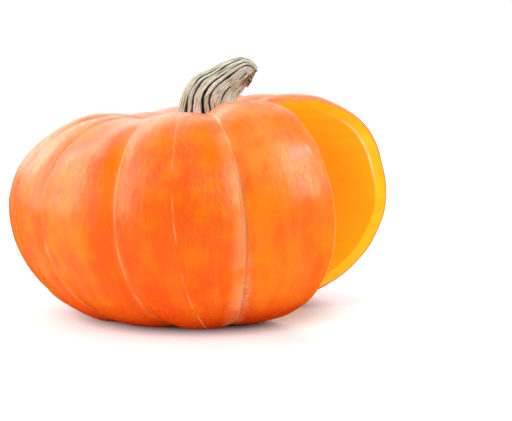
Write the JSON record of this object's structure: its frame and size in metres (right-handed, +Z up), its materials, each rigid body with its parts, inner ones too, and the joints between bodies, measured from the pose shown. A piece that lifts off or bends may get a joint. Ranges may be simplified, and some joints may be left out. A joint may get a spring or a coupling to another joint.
{
  "type": "pumpkin",
  "caption": "Large lobed orange pumpkin lying on its base, a wedge cut out of its side to show thick flesh, stringy pulp and seeds, with a bent ridged stalk.",
  "frame": {"origin": "on the table, under the middle of the fruit's outline seen from above", "axes": "+Z up, as the fruit lies; the fruit leans a little towards -X; its wedge is missing on the +X side, towards -Y"},
  "size_m": [0.2793, 0.2813, 0.1861],
  "materials": {
    "rind": "smooth, satin-glossy orange rind, paler in the grooves and at the top",
    "flesh": "moist golden-yellow cut flesh, finely fibrous",
    "pulp": "wet, stringy, speckled orange pulp",
    "seed": "smooth, damp cream seed coats",
    "stalk": "dry, corky, pale tan ridges with dark grey-green grooves"
  },
  "bodies": {
    "root": {"fruit_wall": "rind", "seed_pulp": "pulp", "stalk": "stalk"}
  },
  "joints": []
}
